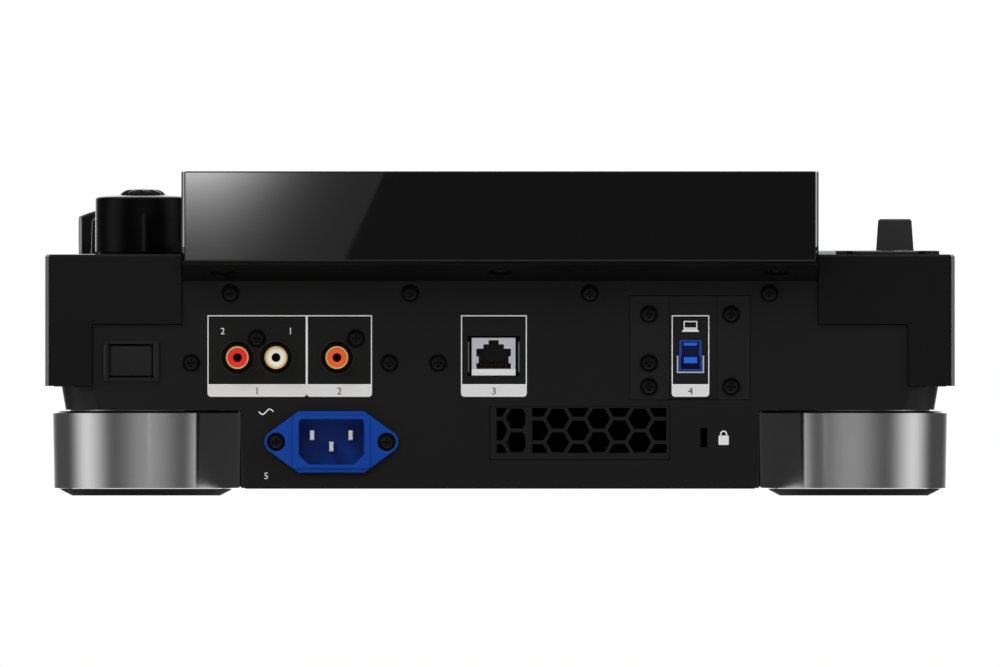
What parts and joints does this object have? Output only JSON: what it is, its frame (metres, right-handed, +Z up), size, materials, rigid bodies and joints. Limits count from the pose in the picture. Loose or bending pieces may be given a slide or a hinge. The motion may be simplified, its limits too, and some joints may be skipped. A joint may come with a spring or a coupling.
{
  "type": "dj media player",
  "caption": "Tabletop DJ media player: jog wheel, tempo fader, inclined display, sprung keys and lever on a deck, with audio, network, USB and mains sockets behind, on round metal feet.",
  "frame": {"origin": "on the table, in the middle of the footprint of the whole object", "axes": "+Z up, +Y to the rear, towards the sockets, +X to the right of someone who stands at the front"},
  "size_m": [0.329, 0.453, 0.1172],
  "materials": {
    "case_plastic": "moulded black ABS, fine spark texture",
    "deck_metal": "black anodised, brushed",
    "panel_steel": "black powder coat",
    "gloss_black": "polished black acrylic",
    "display_glass": "black-bordered cover glass",
    "lcd": "dark screen",
    "foot_metal": "turned and brushed",
    "foot_rubber": "matt",
    "inlet_blue": "moulded blue nylon",
    "pin_metal": "nickel plated",
    "jack_black": "moulded black nylon",
    "jack_gold": "gold plated",
    "jack_red": "moulded red",
    "jack_white": "moulded white",
    "jack_orange": "moulded orange",
    "jack_steel": "tinned steel shell",
    "contact_gold": "gold flashed on black insert",
    "usb_blue": "moulded blue insert",
    "screw_black": "black oxide steel",
    "key_black": "moulded black",
    "key_pale": "translucent pale silicone",
    "knob_black": "soft-touch black",
    "jog_plastic": "moulded black",
    "jog_metal": "dark anodised, spun",
    "board_green": "solder-masked board",
    "inner_steel": "plated steel"
  },
  "bodies": {
    "player": {"case_screws": "screw_black", "deck_plate": "deck_metal", "display_back_cover": "gloss_black", "display_glass": "display_glass", "display_housing": "case_plastic", "foot_cups": "foot_metal", "foot_pads": "foot_rubber", "jack_collars": "jack_black", "jack_insert_orange": "jack_orange", "jack_insert_red": "jack_red", "jack_insert_white": "jack_white", "jack_sleeves": "jack_gold", "jog_base": "jack_black", "jog_bearing": "inner_steel", "jog_display": "display_glass", "key_board": "board_green", "lcd_panel": "lcd", "link_jack_contacts": "contact_gold", "link_jack_shell": "jack_steel", "lower_case": "panel_steel", "main_board": "board_green", "mains_inlet": "inlet_blue", "mains_inlet_pins": "pin_metal", "media_bay": "jack_black", "port_plate": "panel_steel", "power_button_frame": "key_black", "power_supply": "board_green", "rear_panel": "panel_steel", "tempo_fader_body": "inner_steel", "upper_case": "case_plastic", "usb_b_insert": "usb_blue", "usb_b_shell": "jack_steel", "vent_grille": "panel_steel"},
    "jog_wheel": {"jog_platter": "jog_plastic", "jog_top_plate": "jog_metal"},
    "hot_cue_key_1": {"hot_cue_key_1": "key_pale"},
    "hot_cue_key_2": {"hot_cue_key_2": "key_pale"},
    "hot_cue_key_3": {"hot_cue_key_3": "key_pale"},
    "hot_cue_key_4": {"hot_cue_key_4": "key_pale"},
    "hot_cue_key_5": {"hot_cue_key_5": "key_pale"},
    "hot_cue_key_6": {"hot_cue_key_6": "key_pale"},
    "hot_cue_key_7": {"hot_cue_key_7": "key_pale"},
    "hot_cue_key_8": {"hot_cue_key_8": "key_pale"},
    "loop_in_key": {"loop_in_key": "key_black"},
    "loop_out_key": {"loop_out_key": "key_black"},
    "reloop_key": {"reloop_key": "key_black"},
    "search_back_key": {"search_back_key": "key_black"},
    "search_forward_key": {"search_forward_key": "key_black"},
    "sync_key": {"sync_key": "key_black"},
    "track_back_key": {"track_back_key": "key_black"},
    "track_forward_key": {"track_forward_key": "key_black"},
    "play_button": {"play_button": "key_black"},
    "cue_button": {"cue_button": "key_black"},
    "power_button": {"power_button": "key_black"},
    "direction_lever": {"direction_lever": "key_black"},
    "browse_knob": {"browse_knob": "knob_black"},
    "browse_plunger": {"browse_plunger": "jack_black"},
    "jog_feel_knob": {"jog_feel_knob": "knob_black"},
    "tempo_cap": {"tempo_cap": "knob_black"},
    "media_door": {"media_door": "key_black"}
  },
  "joints": [
    {"name": "jog_turn", "type": "hinge", "parent": "player", "child": "jog_wheel", "pos_m": [0, -0.092, 0.09], "axis": [0, 0, 1], "continuous": true},
    {"name": "hot_cue_press_1", "type": "slide", "parent": "player", "child": "hot_cue_key_1", "axis": [0, 0, -1], "range_m": [0, 0.0008], "stiffness_N_per_m": 600, "springref_m": -0.0012},
    {"name": "hot_cue_press_2", "type": "slide", "parent": "player", "child": "hot_cue_key_2", "axis": [0, 0, -1], "range_m": [0, 0.0008], "stiffness_N_per_m": 600, "springref_m": -0.0012},
    {"name": "hot_cue_press_3", "type": "slide", "parent": "player", "child": "hot_cue_key_3", "axis": [0, 0, -1], "range_m": [0, 0.0008], "stiffness_N_per_m": 600, "springref_m": -0.0012},
    {"name": "hot_cue_press_4", "type": "slide", "parent": "player", "child": "hot_cue_key_4", "axis": [0, 0, -1], "range_m": [0, 0.0008], "stiffness_N_per_m": 600, "springref_m": -0.0012},
    {"name": "hot_cue_press_5", "type": "slide", "parent": "player", "child": "hot_cue_key_5", "axis": [0, 0, -1], "range_m": [0, 0.0008], "stiffness_N_per_m": 600, "springref_m": -0.0012},
    {"name": "hot_cue_press_6", "type": "slide", "parent": "player", "child": "hot_cue_key_6", "axis": [0, 0, -1], "range_m": [0, 0.0008], "stiffness_N_per_m": 600, "springref_m": -0.0012},
    {"name": "hot_cue_press_7", "type": "slide", "parent": "player", "child": "hot_cue_key_7", "axis": [0, 0, -1], "range_m": [0, 0.0008], "stiffness_N_per_m": 600, "springref_m": -0.0012},
    {"name": "hot_cue_press_8", "type": "slide", "parent": "player", "child": "hot_cue_key_8", "axis": [0, 0, -1], "range_m": [0, 0.0008], "stiffness_N_per_m": 600, "springref_m": -0.0012},
    {"name": "loop_in_press", "type": "slide", "parent": "player", "child": "loop_in_key", "axis": [0, 0, -1], "range_m": [0, 0.0008], "stiffness_N_per_m": 600, "springref_m": -0.0012},
    {"name": "loop_out_press", "type": "slide", "parent": "player", "child": "loop_out_key", "axis": [0, 0, -1], "range_m": [0, 0.0008], "stiffness_N_per_m": 600, "springref_m": -0.0012},
    {"name": "reloop_press", "type": "slide", "parent": "player", "child": "reloop_key", "axis": [0, 0, -1], "range_m": [0, 0.0008], "stiffness_N_per_m": 600, "springref_m": -0.0012},
    {"name": "search_back_press", "type": "slide", "parent": "player", "child": "search_back_key", "axis": [0, 0, -1], "range_m": [0, 0.0008], "stiffness_N_per_m": 600, "springref_m": -0.0012},
    {"name": "search_forward_press", "type": "slide", "parent": "player", "child": "search_forward_key", "axis": [0, 0, -1], "range_m": [0, 0.0008], "stiffness_N_per_m": 600, "springref_m": -0.0012},
    {"name": "sync_press", "type": "slide", "parent": "player", "child": "sync_key", "axis": [0, 0, -1], "range_m": [0, 0.0008], "stiffness_N_per_m": 600, "springref_m": -0.0012},
    {"name": "track_back_press", "type": "slide", "parent": "player", "child": "track_back_key", "axis": [0, 0, -1], "range_m": [0, 0.0008], "stiffness_N_per_m": 600, "springref_m": -0.0012},
    {"name": "track_forward_press", "type": "slide", "parent": "player", "child": "track_forward_key", "axis": [0, 0, -1], "range_m": [0, 0.0008], "stiffness_N_per_m": 600, "springref_m": -0.0012},
    {"name": "play_press", "type": "slide", "parent": "player", "child": "play_button", "axis": [0, 0, -1], "range_m": [0, 0.0012], "stiffness_N_per_m": 600, "springref_m": -0.0015},
    {"name": "cue_press", "type": "slide", "parent": "player", "child": "cue_button", "axis": [0, 0, -1], "range_m": [0, 0.0012], "stiffness_N_per_m": 600, "springref_m": -0.0015},
    {"name": "power_press", "type": "slide", "parent": "player", "child": "power_button", "axis": [0, -1, 0], "range_m": [0, 0.0012], "stiffness_N_per_m": 900, "springref_m": -0.0015},
    {"name": "direction_swing", "type": "hinge", "parent": "player", "child": "direction_lever", "pos_m": [-0.1428, -0.046, 0.0742], "axis": [1, 0, 0], "range_deg": [-15, 15]},
    {"name": "browse_push", "type": "slide", "parent": "player", "child": "browse_plunger", "axis": [0, 0, -1], "range_m": [0, 0.0008], "stiffness_N_per_m": 900, "springref_m": -0.0015},
    {"name": "browse_turn", "type": "hinge", "parent": "browse_plunger", "child": "browse_knob", "pos_m": [0.1293, 0.066, 0.09], "axis": [0, 0, 1], "continuous": true},
    {"name": "jog_feel_turn", "type": "hinge", "parent": "player", "child": "jog_feel_knob", "pos_m": [0.139, 0.02, 0.09], "axis": [0, 0, 1], "range_deg": [-150, 150]},
    {"name": "tempo_slide", "type": "slide", "parent": "player", "child": "tempo_cap", "axis": [0, 1, 0], "range_m": [-0.05, 0.05]},
    {"name": "media_door_lift", "type": "hinge", "parent": "player", "child": "media_door", "pos_m": [-0.1395, 0.159, 0.0874], "axis": [-1, 0, 0], "range_deg": [0, 100]}
  ]
}
